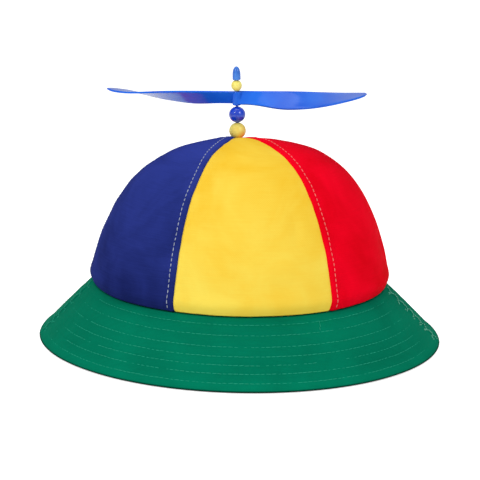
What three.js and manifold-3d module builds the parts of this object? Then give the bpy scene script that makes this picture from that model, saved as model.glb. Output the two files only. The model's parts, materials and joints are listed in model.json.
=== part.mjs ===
// Propeller beanie: a soft crown of six sewn panels on a flared brim, with a propeller
// that spins on a pin threaded with beads. Millimetres, +Z up, the front faces -Y.
// The origin is the centre of the brim's lower edge, on the surface that the hat rests on.
// Azimuths are in degrees, from the front towards +X.

import * as THREE from 'three';
import { mergeVertices } from 'three/addons/utils/BufferGeometryUtils.js';
import Module from 'manifold-3d';

const wasm = await Module();
wasm.setup();

// Crown: outer sizes, and the cloth that it is sewn from
const crownRadius = 91.3;
const crownHeight = 87.4;
const crownWall = 1.4;
const crownPuff = 1.5;
const crownFullness = 3.9;
const dentDepth = 1.4;
const collarRadius = 2.3;
const panelGap = 0.3;

// Brim: the flare from the crown's seam down to the edge that rests on the surface
const brimRadius = 123;
const brimRise = 33.8;
const brimWall = 2.4;
const brimBow = 0.6;
const brimEdgeRound = 0.8;
const brimSeamAzimuth = 84;
const brimSeamGap = 0.3;
const crownSeatGap = 0.3;

// Spindle: the pin leans to -X, and its washer holds it under the crown's apex
const spindleOffset = -3.7;
const spindleLean = 2.4;
const pinRadius = 0.8;
const washerRadius = 5.5;
const washerHeight = 1.0;
const threadClearance = 0.35;
const stackGap = 0.3;
const beadSeatGap = 0.3;

// What is threaded on the pin, from the bottom up
const lowerBeadRadius = 4.95;
const upperBeadRadius = 4.85;
const hubRadius = 2.6;
const hubLength = 8.4;
const hubNeck = 0.8;
const smallBeadRadius = 3.0;
const smallBeadLength = 6.4;
const capRadius = 2.45;
const capLength = 8.1;
const capBoreDepth = 5.0;
const pinTopGap = 0.4;

// Propeller: two twisted blades, moulded with the hub
const bladeHalfSpan = 77.5;
const bladeWidth = 24;
const bladeDrop = 8.8;
const bladeWall = 1.1;
const hubBoreClearance = 0.7;

// Mesh fineness
const panelColumns = 10;
const panelRows = 20;
const brimSteps = 34;
const brimRows = 6;
const roundSides = 16;
const ballRings = 8;

// The crown's sections from the brim's seam to the collar round the pin. height is a share
// of crownHeight, radius and lean are shares of crownRadius, twist is in degrees and puff is a
// share of crownPuff. front raises the front and back presses in the back, both by shares of
// crownFullness. splay is how many degrees the side seams stand further back.
const crownSections = [
  { height: 0.0, radius: 0.977, lean: -0.01, twist: 5.7, puff: 0.1, front: 0, back: 0, splay: 1 },
  { height: 0.04, radius: 0.999, lean: -0.009, twist: 5.7, puff: 0.35, front: 0, back: 0, splay: 1.3 },
  { height: 0.12, radius: 0.985, lean: -0.007, twist: 5.6, puff: 0.55, front: 0, back: 0, splay: 2 },
  { height: 0.297, radius: 0.941, lean: -0.001, twist: 5.1, puff: 0.65, front: 0, back: 0.1, splay: 3 },
  { height: 0.494, radius: 0.865, lean: 0.003, twist: 4.6, puff: 0.7, front: 0, back: 0.2, splay: 4.4 },
  { height: 0.692, radius: 0.748, lean: 0.01, twist: 3.7, puff: 0.8, front: 0.08, back: 0.4, splay: 6.6 },
  { height: 0.811, radius: 0.63, lean: 0.018, twist: 2.9, puff: 0.9, front: 0.3, back: 0.5, splay: 10 },
  { height: 0.91, radius: 0.459, lean: 0.026, twist: 0.6, puff: 1, front: 0.82, back: 0.6, splay: 16 },
  { height: 0.969, radius: 0.222, lean: 0.02, twist: -2.3, puff: 1, front: 1, back: 0.45, splay: 18 },
  { height: 0.985, radius: 0.12, lean: -0.01, twist: -2.5, puff: 0.7, front: 0.64, back: 0.25, splay: 18 },
  {
    height: 1,
    radius: collarRadius / crownRadius,
    lean: spindleOffset / crownRadius,
    twist: -2.5,
    puff: 0,
    front: 0,
    back: 0,
    splay: 18,
  },
];
// Where the pressed-in back begins and where it is deepest
const crownBackStart = 84;
const crownBackFull = 125;

// The six panels in order round the crown, from the front towards +X
const crownPanels = [
  { name: 'crown_panel_front', colour: 0xfdd835 },
  { name: 'crown_panel_front_right', colour: 0xe30a22 },
  { name: 'crown_panel_back_right', colour: 0x2a3a96 },
  { name: 'crown_panel_back', colour: 0xfdd835 },
  { name: 'crown_panel_back_left', colour: 0xe30a22 },
  { name: 'crown_panel_front_left', colour: 0x2a3a96 },
];
const panelAngle = 360 / crownPanels.length;

// Soft dents in the cloth. across and up are shares of the panel's width and length,
// wide and tall are the dent's reach in the same shares, depth is a share of dentDepth.
const crownDents = [
  { panel: 0, across: 0.1, up: 0.42, wide: 0.16, tall: 0.09, depth: 1 },
  { panel: 0, across: 0.62, up: 0.3, wide: 0.3, tall: 0.1, depth: 0.35 },
  { panel: 1, across: 0.3, up: 0.5, wide: 0.2, tall: 0.14, depth: 0.7 },
  { panel: 1, across: 0.66, up: 0.22, wide: 0.22, tall: 0.1, depth: 0.6 },
  { panel: 2, across: 0.5, up: 0.4, wide: 0.2, tall: 0.16, depth: 0.7 },
  { panel: 3, across: 0.4, up: 0.32, wide: 0.25, tall: 0.12, depth: 0.6 },
  { panel: 4, across: 0.55, up: 0.5, wide: 0.22, tall: 0.12, depth: 0.7 },
  { panel: 5, across: 0.45, up: 0.36, wide: 0.25, tall: 0.12, depth: 0.7 },
  { panel: 5, across: 0.8, up: 0.6, wide: 0.16, tall: 0.1, depth: 0.5 },
];

// The blade's sections outwards. reach is a share of bladeHalfSpan, leading and trailing are
// the two edges as shares of bladeWidth, high and low are their heights as shares of bladeDrop.
const bladeSections = [
  { reach: 0.015, trailing: 0.03, leading: -0.02, high: 0, low: -0.74 },
  { reach: 0.13, trailing: 0.075, leading: -0.118, high: 0, low: -0.84 },
  { reach: 0.21, trailing: 0.102, leading: -0.22, high: -0.01, low: -0.91 },
  { reach: 0.29, trailing: 0.133, leading: -0.325, high: -0.015, low: -0.98 },
  { reach: 0.37, trailing: 0.162, leading: -0.43, high: -0.02, low: -1 },
  { reach: 0.44, trailing: 0.188, leading: -0.5, high: -0.025, low: -0.95 },
  { reach: 0.52, trailing: 0.217, leading: -0.555, high: -0.035, low: -0.88 },
  { reach: 0.6, trailing: 0.25, leading: -0.592, high: -0.06, low: -0.78 },
  { reach: 0.68, trailing: 0.3, leading: -0.615, high: -0.085, low: -0.64 },
  { reach: 0.76, trailing: 0.352, leading: -0.62, high: -0.11, low: -0.48 },
  { reach: 0.84, trailing: 0.375, leading: -0.57, high: -0.12, low: -0.31 },
  { reach: 0.91, trailing: 0.345, leading: -0.445, high: -0.09, low: -0.19 },
  { reach: 0.96, trailing: 0.26, leading: -0.285, high: -0.05, low: -0.1 },
  { reach: 0.99, trailing: 0.135, leading: -0.13, high: 0, low: -0.03 },
  { reach: 1, trailing: 0.05, leading: -0.045, high: 0, low: 0 },
];

const radians = THREE.MathUtils.degToRad;

// Shared solids

// A geometry with only positions, its shared corners merged and its faces turned outwards
function closedSolid(geometry) {
  geometry.deleteAttribute('normal');
  geometry.deleteAttribute('uv');
  const solid = mergeVertices(geometry, 1e-4);
  const place = solid.getAttribute('position');
  const index = solid.getIndex().array;
  const corners = [new THREE.Vector3(), new THREE.Vector3(), new THREE.Vector3()];
  const kept = [];
  let volume = 0;
  for (let i = 0; i < index.length; i += 3) {
    const [a, b, c] = [index[i], index[i + 1], index[i + 2]];
    if (a === b || b === c || c === a) continue;
    kept.push(a, b, c);
    corners.forEach((corner, k) => corner.fromBufferAttribute(place, index[i + k]));
    volume += corners[0].dot(corners[1].clone().cross(corners[2]));
  }
  if (volume < 0) kept.reverse();
  solid.setIndex(kept);
  return solid;
}

function meshGeometry(points, faces) {
  const geometry = new THREE.BufferGeometry();
  geometry.setAttribute('position', new THREE.Float32BufferAttribute(points.flatMap((p) => p.toArray()), 3));
  geometry.setIndex(faces);
  return closedSolid(geometry);
}

// Two triangles for each cell of a grid of point numbers
function gridFaces(rows, columns, at) {
  const faces = [];
  for (let row = 0; row < rows; row += 1) {
    for (let column = 0; column < columns; column += 1) {
      const [a, b] = [at(row, column), at(row, column + 1)];
      const [c, d] = [at(row + 1, column + 1), at(row + 1, column)];
      faces.push(a, b, c, a, c, d);
    }
  }
  return faces;
}

// A wall between an outer and an inner sheet of points, closed round its four edges
function wallGeometry(outer, inner) {
  const rows = outer.length - 1;
  const columns = outer[0].length - 1;
  const width = columns + 1;
  const sheet = (rows + 1) * width;
  const out = (row, column) => row * width + column;
  const back = (row, column) => sheet + out(row, column);
  const faces = gridFaces(rows, columns, out);
  faces.push(...gridFaces(rows, columns, (row, column) => back(row, columns - column)));
  for (const row of [0, rows]) {
    const pair = (k, column) => (k === (row === 0 ? 0 : 1) ? back(row, column) : out(row, column));
    faces.push(...gridFaces(1, columns, pair));
  }
  for (const column of [0, columns]) {
    const pair = (row, k) => (k === (column === 0 ? 0 : 1) ? back(row, column) : out(row, column));
    faces.push(...gridFaces(rows, 1, pair));
  }
  return meshGeometry([...outer.flat(), ...inner.flat()], faces);
}

// Rings of points joined one to the next, with a flat face over each end
function loftGeometry(rings) {
  const count = rings[0].length;
  const faces = gridFaces(rings.length - 1, count, (row, column) => row * count + (column % count));
  const last = (rings.length - 1) * count;
  for (let k = 1; k < count - 1; k += 1) {
    faces.push(0, k + 1, k);
    faces.push(last, last + k, last + k + 1);
  }
  return meshGeometry(rings.flat(), faces);
}

// A turned solid from [radius, height] pairs, about the Z axis
function turned(profile, sides = roundSides) {
  const outline = profile.map(([radius, height]) => new THREE.Vector2(radius, height));
  const geometry = new THREE.LatheGeometry(outline, sides);
  geometry.rotateX(Math.PI / 2);
  return closedSolid(geometry);
}

function toManifold(geometry) {
  return new wasm.Manifold(
    new wasm.Mesh({
      numProp: 3,
      vertProperties: new Float32Array(geometry.getAttribute('position').array),
      triVerts: new Uint32Array(geometry.getIndex().array),
    }),
  );
}

function fromManifold(solid) {
  const mesh = solid.getMesh();
  const geometry = new THREE.BufferGeometry();
  geometry.setAttribute('position', new THREE.BufferAttribute(mesh.vertProperties, 3));
  geometry.setIndex(Array.from(mesh.triVerts));
  return closedSolid(geometry);
}

function cloth(colour) {
  return new THREE.MeshStandardMaterial({ color: colour, roughness: 0.92, metalness: 0, flatShading: true });
}

function plastic(colour, roughness) {
  return new THREE.MeshStandardMaterial({ color: colour, roughness, metalness: 0 });
}

function piece(name, geometry, material) {
  const mesh = new THREE.Mesh(geometry, material);
  mesh.name = name;
  return mesh;
}

// Crown

const crownLine = new THREE.CatmullRomCurve3(
  crownSections.map((s) => new THREE.Vector3(s.radius * crownRadius, 0, s.height * crownHeight)),
);
const crownDrift = new THREE.CatmullRomCurve3(
  crownSections.map((s) => new THREE.Vector3(s.lean * crownRadius, s.twist, s.puff * crownPuff)),
  false,
  'catmullrom',
);
const crownSides = new THREE.CatmullRomCurve3(
  crownSections.map((s) => new THREE.Vector3(s.front * crownFullness, s.back * crownFullness, s.splay)),
  false,
  'catmullrom',
);
const crownSeamHeight = brimRise + crownSeatGap;

// How deep the panel's dents are at one place on it
function dentAt(panel, across, up) {
  let depth = 0;
  for (const dent of crownDents.filter((d) => d.panel === panel)) {
    const sideways = (across - dent.across) / dent.wide;
    const upwards = (up - dent.up) / dent.tall;
    depth += dent.depth * dentDepth * Math.exp(-(sideways ** 2) - upwards ** 2);
  }
  const fromSeam = 4 * across * (1 - across);
  return depth * Math.min(1, 2 * fromSeam);
}

// A point on the outside of a panel: across runs from seam to seam, up from brim to collar
function crownPoint(panel, across, up) {
  const t = crownLine.getUtoTmapping(up);
  const line = crownLine.getPoint(t);
  const slope = crownLine.getTangent(t);
  const [lean, twist, puff] = crownDrift.getPoint(t).toArray();
  const [front, back, splay] = crownSides.getPoint(t).toArray();
  const even = radians(panelAngle * (panel + across - 0.5) + twist);
  const azimuth = even + radians(splay) * Math.sin(even) ** 3;
  const towardsFront = ((1 + Math.cos(azimuth)) / 2) ** 2;
  const towardsBack = THREE.MathUtils.smoothstep(
    -Math.cos(azimuth),
    -Math.cos(radians(crownBackStart)),
    -Math.cos(radians(crownBackFull)),
  );
  const swell = puff * 4 * across * (1 - across) - dentAt(panel, across, up) - back * towardsBack;
  const radius = line.x + swell * slope.z;
  const rise = line.z - swell * slope.x + front * towardsFront;
  return new THREE.Vector3(
    lean + radius * Math.sin(azimuth),
    -radius * Math.cos(azimuth),
    crownSeamHeight + rise,
  );
}

// The same point, moved inwards by the cloth's thickness
function crownInnerPoint(panel, across, up) {
  const step = 0.004;
  const sideStart = Math.max(0, across - step);
  const sideEnd = Math.min(1, across + step);
  const sideways = crownPoint(panel, sideEnd, up).sub(crownPoint(panel, sideStart, up));
  const lower = crownPoint(panel, across, Math.max(0, up - step));
  const upwards = crownPoint(panel, across, Math.min(1, up + step)).sub(lower);
  const outward = sideways.cross(upwards).normalize();
  return crownPoint(panel, across, up).addScaledVector(outward, -crownWall);
}

// Half the gap between two panels, as a share of the panel's width at this height
function seamShare(up) {
  const radius = crownLine.getPoint(crownLine.getUtoTmapping(up)).x;
  return panelGap / 2 / (radius * radians(panelAngle));
}

function panelSheet(panel, pointAt) {
  return Array.from({ length: panelRows + 1 }, (_, row) => {
    const up = row / panelRows;
    const edge = seamShare(up);
    return Array.from({ length: panelColumns + 1 }, (__, column) => {
      const across = edge + (1 - 2 * edge) * (column / panelColumns);
      return pointAt(panel, across, up);
    });
  });
}

function makeCrown() {
  const crown = new THREE.Group();
  crownPanels.forEach(({ name, colour }, panel) => {
    const wall = wallGeometry(panelSheet(panel, crownPoint), panelSheet(panel, crownInnerPoint));
    crown.add(piece(name, wall, cloth(colour)));
  });
  return crown;
}

// Brim

// The brim's cut section as [radius, height] pairs: down the outside, back up the inside
function brimProfile() {
  const seamRadius = crownSections[0].radius * crownRadius;
  const run = brimRadius - seamRadius;
  const drop = brimRise - brimEdgeRound;
  const slant = Math.hypot(run, drop);
  const outside = Array.from({ length: brimRows + 1 }, (_, row) => {
    const share = row / brimRows;
    const bow = brimBow * Math.sin(Math.PI * share);
    return [seamRadius + run * share + (bow * drop) / slant, brimRise - drop * share + (bow * run) / slant];
  });
  const slope = run / drop;
  const innerEdgeRadius = brimRadius - (brimWall * slant) / drop;
  const tuckRadius = seamRadius - crownWall;
  return [
    ...outside,
    [brimRadius - brimEdgeRound / 2, 0],
    [innerEdgeRadius, 0],
    [tuckRadius, (innerEdgeRadius - tuckRadius) / slope],
    [tuckRadius, brimRise],
  ];
}

// Half of the brim, from one side seam to the other
function brimHalf(startAzimuth, endAzimuth) {
  const profile = brimProfile();
  const lean = crownSections[0].lean * crownRadius;
  const gapAngle = brimSeamGap / 2 / brimRadius;
  const [start, end] = [radians(startAzimuth) + gapAngle, radians(endAzimuth) - gapAngle];
  const rings = Array.from({ length: brimSteps + 1 }, (_, step) => {
    const azimuth = start + (end - start) * (step / brimSteps);
    return profile.map(([radius, height]) => {
      const follow = lean * (height / brimRise);
      return new THREE.Vector3(follow + radius * Math.sin(azimuth), -radius * Math.cos(azimuth), height);
    });
  });
  const outline = profile.map(([radius, height]) => new THREE.Vector2(radius, height));
  const cap = THREE.ShapeUtils.triangulateShape(outline, []);
  const count = profile.length;
  const last = brimSteps * count;
  const faces = gridFaces(brimSteps, count, (row, column) => row * count + (column % count));
  const turnedIn = THREE.ShapeUtils.isClockWise(outline);
  for (const [a, b, c] of cap) {
    const [near, far] = turnedIn ? [c, a] : [a, c];
    faces.push(far, b, near);
    faces.push(last + near, last + b, last + far);
  }
  return meshGeometry(rings.flat(), faces);
}

function makeBrim() {
  const brim = new THREE.Group();
  const green = 0x00765a;
  brim.add(piece('brim_front', brimHalf(-brimSeamAzimuth, brimSeamAzimuth), cloth(green)));
  brim.add(piece('brim_back', brimHalf(brimSeamAzimuth, 360 - brimSeamAzimuth), cloth(green)));
  return brim;
}

// Spindle and what is threaded on it

// The lowest point of the crown's inside over the washer
function apexUnderside() {
  let lowest = Infinity;
  const steps = 40;
  const sides = 8;
  const searched = 0.3;
  for (let panel = 0; panel < crownPanels.length; panel += 1) {
    for (let step = 0; step <= steps; step += 1) {
      for (let side = 0; side <= sides; side += 1) {
        const point = crownInnerPoint(panel, side / sides, 1 - (searched * step) / steps);
        const offAxis = Math.hypot(point.x - spindleOffset, point.y);
        if (offAxis <= washerRadius + crownWall) lowest = Math.min(lowest, point.z);
      }
    }
  }
  return lowest;
}

const apexHeight = crownSeamHeight + crownHeight;
const boreRadius = pinRadius + threadClearance;

// Half the length of a round bead, whose poles are cut away by its bore
function beadHalfLength(radius) {
  return Math.sqrt(radius ** 2 - boreRadius ** 2);
}

// The stack's heights along the pin, from the crown's apex. The lowest bead rests on the
// rim of the collar, and the others follow it.
const lowerBeadCentre = Math.sqrt((lowerBeadRadius + beadSeatGap) ** 2 - collarRadius ** 2);
const lowerBeadTop = lowerBeadCentre + beadHalfLength(lowerBeadRadius);
const upperBeadCentre = lowerBeadTop + stackGap + beadHalfLength(upperBeadRadius);
const hubBottom = upperBeadCentre + beadHalfLength(upperBeadRadius) + hubNeck;
const hubMiddle = hubBottom + hubLength / 2;
const smallBeadCentre = hubBottom + hubLength + stackGap + smallBeadLength / 2;
const capBottom = smallBeadCentre + smallBeadLength / 2 + stackGap;
const washerTop = apexUnderside() - apexHeight - panelGap - washerRadius * Math.sin(radians(spindleLean));

// A drilled ball: round outside, with its ends cut flat by the bore
function beadGeometry(radius, halfLength = beadHalfLength(radius)) {
  const poleAngle = Math.asin(boreRadius / radius);
  const stretch = halfLength / Math.cos(poleAngle);
  const profile = Array.from({ length: ballRings + 1 }, (_, ring) => {
    const angle = poleAngle + ((Math.PI - 2 * poleAngle) * ring) / ballRings;
    return [radius * Math.sin(angle), -stretch * Math.cos(angle)];
  });
  return turned([...profile, profile[0]]);
}

function spindleGeometry() {
  const pinTop = capBottom + capBoreDepth - pinTopGap;
  const washerBottom = washerTop - washerHeight;
  return turned([
    [0, washerBottom],
    [washerRadius, washerBottom],
    [washerRadius, washerTop],
    [pinRadius, washerTop],
    [pinRadius, pinTop],
    [0, pinTop],
  ]);
}

// A bullet-shaped cap with a blind bore from below
function capGeometry() {
  const shoulder = 0.6;
  const topRadius = 0.72 * capRadius;
  const domeStart = 0.8 * capLength;
  const dome = Array.from({ length: 5 }, (_, step) => {
    const angle = (Math.PI / 2) * (step / 4);
    return [topRadius * Math.cos(angle), domeStart + (capLength - domeStart) * Math.sin(angle)];
  });
  return turned([
    [boreRadius, 0],
    [capRadius - shoulder / 2, 0],
    [capRadius, shoulder],
    [0.97 * capRadius, capLength / 2],
    ...dome,
    [0, capBoreDepth],
    [boreRadius, capBoreDepth],
    [boreRadius, 0],
  ]);
}

function makeStack() {
  const stack = new THREE.Group();
  stack.position.set(spindleOffset, 0, apexHeight);
  stack.rotation.y = -radians(spindleLean);
  stack.add(piece('spindle', spindleGeometry(), plastic(0x3a5fc0, 0.4)));
  const lowerBead = beadGeometry(lowerBeadRadius);
  const upperBead = beadGeometry(upperBeadRadius);
  const smallBead = beadGeometry(smallBeadRadius, smallBeadLength / 2);
  const threaded = [
    { name: 'lower_bead', geometry: lowerBead, height: lowerBeadCentre, colour: 0xfacd3c },
    { name: 'upper_bead', geometry: upperBead, height: upperBeadCentre, colour: 0x3250be },
    { name: 'small_bead', geometry: smallBead, height: smallBeadCentre, colour: 0xfae16e },
    { name: 'spindle_cap', geometry: capGeometry(), height: capBottom, colour: 0x3278d7 },
  ];
  for (const { name, geometry, height, colour } of threaded) {
    const mesh = piece(name, geometry, plastic(colour, 0.3));
    mesh.position.z = height;
    stack.add(mesh);
  }
  return stack;
}

// Propeller

// One blade along +X, as lofted six-sided sections that are thinned at both edges
function bladeGeometry() {
  const thinning = 0.45;
  const top = hubLength / 2;
  const rings = bladeSections.map((section) => {
    const along = section.reach * bladeHalfSpan;
    const far = new THREE.Vector2(section.trailing * bladeWidth, top + section.high * bladeDrop);
    const near = new THREE.Vector2(section.leading * bladeWidth, top + section.low * bladeDrop);
    const chord = far.clone().sub(near);
    const face = new THREE.Vector2(-chord.y, chord.x).normalize();
    const places = [
      [0, 0.5 * thinning],
      [0.25, 0.5],
      [0.75, 0.5],
      [1, 0.5 * thinning],
      [1, -0.5 * thinning],
      [0.75, -0.5],
      [0.25, -0.5],
      [0, -0.5 * thinning],
    ];
    return places.map(([share, side]) => {
      const at = near.clone().addScaledVector(chord, share).addScaledVector(face, side * bladeWall);
      return new THREE.Vector3(along, at.x, at.y);
    });
  });
  return loftGeometry(rings);
}

// A tube with rounded ends, centred on its middle
function hubGeometry() {
  const half = hubLength / 2;
  const round = 0.45 * hubRadius;
  return turned([
    [0, -half],
    [hubRadius - round, -half],
    [hubRadius - 0.3 * round, -half + 0.3 * round],
    [hubRadius, -half + round],
    [hubRadius, half - 0.3 * round],
    [hubRadius - 0.3 * round, half],
    [0, half],
  ]);
}

function propellerGeometry() {
  const boreSides = 24;
  const bore = new THREE.CylinderGeometry(
    pinRadius + hubBoreClearance,
    pinRadius + hubBoreClearance,
    2 * hubLength,
    boreSides,
  );
  bore.rotateX(Math.PI / 2);
  const blade = bladeGeometry();
  const otherBlade = blade.clone().rotateZ(Math.PI);
  const body = toManifold(hubGeometry()).add(toManifold(blade)).add(toManifold(otherBlade));
  return fromManifold(body.subtract(toManifold(closedSolid(bore))));
}

// The hub stands upright on the leaning pin, so the blades spin level
function makePropeller() {
  const propeller = piece('propeller', propellerGeometry(), plastic(0x3c78e1, 0.25));
  const lean = radians(spindleLean);
  propeller.position.set(
    spindleOffset - hubMiddle * Math.sin(lean),
    0,
    apexHeight + hubMiddle * Math.cos(lean),
  );
  return propeller;
}

const beanie = new THREE.Group();
beanie.add(makeCrown(), makeBrim(), makeStack(), makePropeller());

export default beanie;
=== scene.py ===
# %% [markdown]
# # A propeller beanie
# The hat is a soft crown of six sewn panels on a flared, row-stitched brim. A pin stands on its
# top with beads, a twisted propeller and a cap. The solid model of the hat is loaded as a fixed
# frame first, and each piece here is made around the solid that it stands for.

import json
from math import atan2, cos, hypot, pi, radians, sin, sqrt, tan

import bmesh
import bpy
import numpy as np
from mathutils import Matrix, Vector, noise


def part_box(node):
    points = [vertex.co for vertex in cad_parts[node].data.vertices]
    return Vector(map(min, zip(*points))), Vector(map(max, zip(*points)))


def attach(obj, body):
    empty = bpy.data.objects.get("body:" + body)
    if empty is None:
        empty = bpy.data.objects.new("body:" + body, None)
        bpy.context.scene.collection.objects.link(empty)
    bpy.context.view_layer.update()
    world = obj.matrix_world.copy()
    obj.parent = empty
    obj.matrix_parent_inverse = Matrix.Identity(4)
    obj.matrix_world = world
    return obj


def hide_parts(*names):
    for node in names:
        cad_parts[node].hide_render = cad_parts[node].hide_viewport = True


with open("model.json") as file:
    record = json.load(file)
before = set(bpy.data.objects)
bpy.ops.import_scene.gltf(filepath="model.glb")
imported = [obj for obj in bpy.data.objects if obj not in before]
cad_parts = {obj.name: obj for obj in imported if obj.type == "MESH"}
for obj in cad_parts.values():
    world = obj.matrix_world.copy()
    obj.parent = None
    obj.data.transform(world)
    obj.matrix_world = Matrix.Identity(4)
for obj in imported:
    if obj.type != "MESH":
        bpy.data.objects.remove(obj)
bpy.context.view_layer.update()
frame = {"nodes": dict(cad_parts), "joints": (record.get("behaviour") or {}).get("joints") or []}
MM = 0.001
HAT = "hat"
SPINNER = "propeller"
bpy.context.scene.view_settings.view_transform = "Standard"


def deselect():
    """Nothing is selected or being edited after this."""
    if bpy.context.object and bpy.context.object.mode != "OBJECT":
        bpy.ops.object.mode_set(mode="OBJECT")
    bpy.ops.object.select_all(action="DESELECT")


def choose(piece):
    deselect()
    piece.select_set(True)
    bpy.context.view_layer.objects.active = piece


def finish_with(piece, kind, **settings):
    """Adds a modifier to a piece and applies it."""
    choose(piece)
    step = piece.modifiers.new(kind.lower(), kind)
    for key, value in settings.items():
        setattr(step, key, value)
    bpy.ops.object.modifier_apply(modifier=step.name)


def named(name):
    """The object that an operator has just added, under its own name."""
    piece = bpy.context.object
    piece.name = name
    piece.data.name = name
    return piece


def smooth(piece, angle=40):
    choose(piece)
    bpy.ops.object.shade_smooth_by_angle(angle=radians(angle))


def soften(piece, width, angle, segments=3):
    """Rounds the edges of a piece that are sharper than an angle in degrees, by a width in mm."""
    limits = {"limit_method": "ANGLE", "angle_limit": radians(angle)}
    finish_with(piece, "BEVEL", width=width * MM, segments=segments, **limits)


def close_edit():
    """Turns all normals of the edited piece outwards and leaves edit mode."""
    bpy.ops.mesh.select_all(action="SELECT")
    bpy.ops.mesh.normals_make_consistent(inside=False)
    bpy.ops.object.mode_set(mode="OBJECT")


def add_mesh(name, mesh):
    """A new object at the origin for a mesh that is made from points."""
    piece = bpy.data.objects.new(name, mesh)
    bpy.context.scene.collection.objects.link(piece)
    return piece


def lay_grain(mesh, layer, grain):
    """Gives each corner of each face its place on the flat cloth, in metres."""
    corners = np.zeros(len(mesh.loops), int)
    mesh.loops.foreach_get("vertex_index", corners)
    layer.data.foreach_set("uv", grain[corners].ravel())


def settle(piece, body, slot, material, *nodes):
    """Gives a finished piece its material, its body and the solids that it stands for. The slot is not
    used.
    """
    piece.data.materials.clear()
    piece.data.materials.append(material)
    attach(piece, body)
    if nodes:
        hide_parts(*nodes)
    print(piece.name, len(piece.data.polygons), "faces")


def flat_colour(red, green, blue):
    """A colour given as it looks on a screen, 0 to 255, turned into light."""
    shares = [channel / 255 for channel in (red, green, blue)]
    light = [s / 12.92 if s <= 0.04045 else ((s + 0.055) / 1.055) ** 2.4 for s in shares]
    return (*light, 1.0)


def start_material(name):
    """A new material, its node tree and its main shader."""
    material = bpy.data.materials.new(name)
    material.use_nodes = True
    return material, material.node_tree, material.node_tree.nodes["Principled BSDF"]


# %% [markdown]
# ## The camera
# The hat was seen from the front and a little above, from about a metre away. The camera stands
# there with a long lens, so that the brim's ellipse and the crown's sides come out as they should.
# It is turned a little about its own line of sight, because the hat stood slightly askew in view.

# %% Camera
CAMERA_TARGET = Vector((-0.99, 0, 58.81)) * MM
CAMERA_DISTANCE = 1000 * MM
CAMERA_HEIGHT_ANGLE = radians(12.564)
CAMERA_ROLL = radians(1.237)
CAMERA_FIELD = radians(16.683)

bpy.ops.object.camera_add()
camera = bpy.context.object
towards_camera = Vector((0, -cos(CAMERA_HEIGHT_ANGLE), sin(CAMERA_HEIGHT_ANGLE)))
tilt = Matrix.Rotation(pi / 2 - CAMERA_HEIGHT_ANGLE, 4, "X") @ Matrix.Rotation(CAMERA_ROLL, 4, "Z")
camera.matrix_world = Matrix.Translation(CAMERA_TARGET + CAMERA_DISTANCE * towards_camera) @ tilt
camera.data.sensor_width = 36
camera.data.lens = camera.data.sensor_width / 2 / tan(CAMERA_FIELD / 2)
bpy.context.scene.camera = camera
print("lens", round(camera.data.lens, 1), "mm")

# %% [markdown]
# ## Light and floor
# The hat was lit evenly on white, so most of the light comes from the world. Two soft panels in
# front, one on each side, leave the pair of small highlights on the glossy bead, and one from
# above keeps the brim brighter than the crown's sides. The floor glows mostly where the camera
# looks straight at it, so that it stays white without lighting the hat much from below.

# %% Light and floor
WORLD_STRENGTH = 0.49
SOFT_PANELS = [
    ("panel_left", (-0.75, -0.92, 0.87), 0.4, 4.7),
    ("panel_right", (0.72, -0.88, 0.86), 0.36, 3.1),
    ("panel_top", (-0.1, 0.15, 1.3), 0.9, 4.2),
]
FLOOR_WIDTH = 30.0
FLOOR_DROP = 0.05 * MM
FLOOR_GLOW = 0.18
FLOOR_GLOW_SEEN = 0.5

world = bpy.data.worlds.new("studio")
bpy.context.scene.world = world
world.use_nodes = True
sky = world.node_tree.nodes["Background"]
sky.inputs["Color"].default_value = (1, 1, 1, 1)
seen_straight = world.node_tree.nodes.new("ShaderNodeLightPath")
sky_strength = world.node_tree.nodes.new("ShaderNodeMapRange")
sky_strength.inputs["To Min"].default_value = WORLD_STRENGTH
sky_strength.inputs["To Max"].default_value = 1.0
world.node_tree.links.new(seen_straight.outputs["Is Camera Ray"], sky_strength.inputs["Value"])
world.node_tree.links.new(sky_strength.outputs["Result"], sky.inputs["Strength"])

for name, place, size, power in SOFT_PANELS:
    bpy.ops.object.light_add(type="AREA", location=place)
    light = bpy.context.object
    light.name = name
    light.data.size = size
    light.data.energy = power
    aim = CAMERA_TARGET - Vector(place)
    light.rotation_euler = aim.to_track_quat("-Z", "Y").to_euler()

deselect()
bpy.ops.mesh.primitive_plane_add(size=FLOOR_WIDTH, location=(0, 0, -FLOOR_DROP))
floor = named("floor")
floor_paint, floor_tree, floor_shader = start_material("floor_white")
floor_shader.inputs["Base Color"].default_value = (0.93, 0.93, 0.93, 1)
floor_shader.inputs["Roughness"].default_value = 0.9
floor_shader.inputs["Specular IOR Level"].default_value = 0.0
floor_shader.inputs["Emission Color"].default_value = (1, 1, 1, 1)
floor_seen = floor_tree.nodes.new("ShaderNodeLightPath")
floor_glow = floor_tree.nodes.new("ShaderNodeMath")
floor_glow.operation = "MULTIPLY_ADD"
floor_glow.inputs[1].default_value = FLOOR_GLOW_SEEN
floor_glow.inputs[2].default_value = FLOOR_GLOW
floor_tree.links.new(floor_seen.outputs["Is Camera Ray"], floor_glow.inputs[0])
floor_tree.links.new(floor_glow.outputs[0], floor_shader.inputs["Emission Strength"])
floor.data.materials.append(floor_paint)

# %% [markdown]
# ## Cloth as a shader
# All the cloth is one cotton weave in four dyes. The weave, the slubs in its yarn, the soft
# mottling of the dye and the small creases of handling are made once, in a node group. Its input
# is the cloth's own UV map, which is in metres and follows the grain of each cut piece, so the
# yarns keep one size on every panel. Each dye then mixes those masks in its own strength.

# %% The node group for woven cloth
def start_group(name, inputs, outputs):
    group = bpy.data.node_groups.new(name, "ShaderNodeTree")
    for label, kind in inputs:
        group.interface.new_socket(name=label, in_out="INPUT", socket_type=kind)
    for label in outputs:
        group.interface.new_socket(name=label, in_out="OUTPUT", socket_type="NodeSocketFloat")
    return group, group.nodes.new("NodeGroupInput"), group.nodes.new("NodeGroupOutput")


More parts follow.
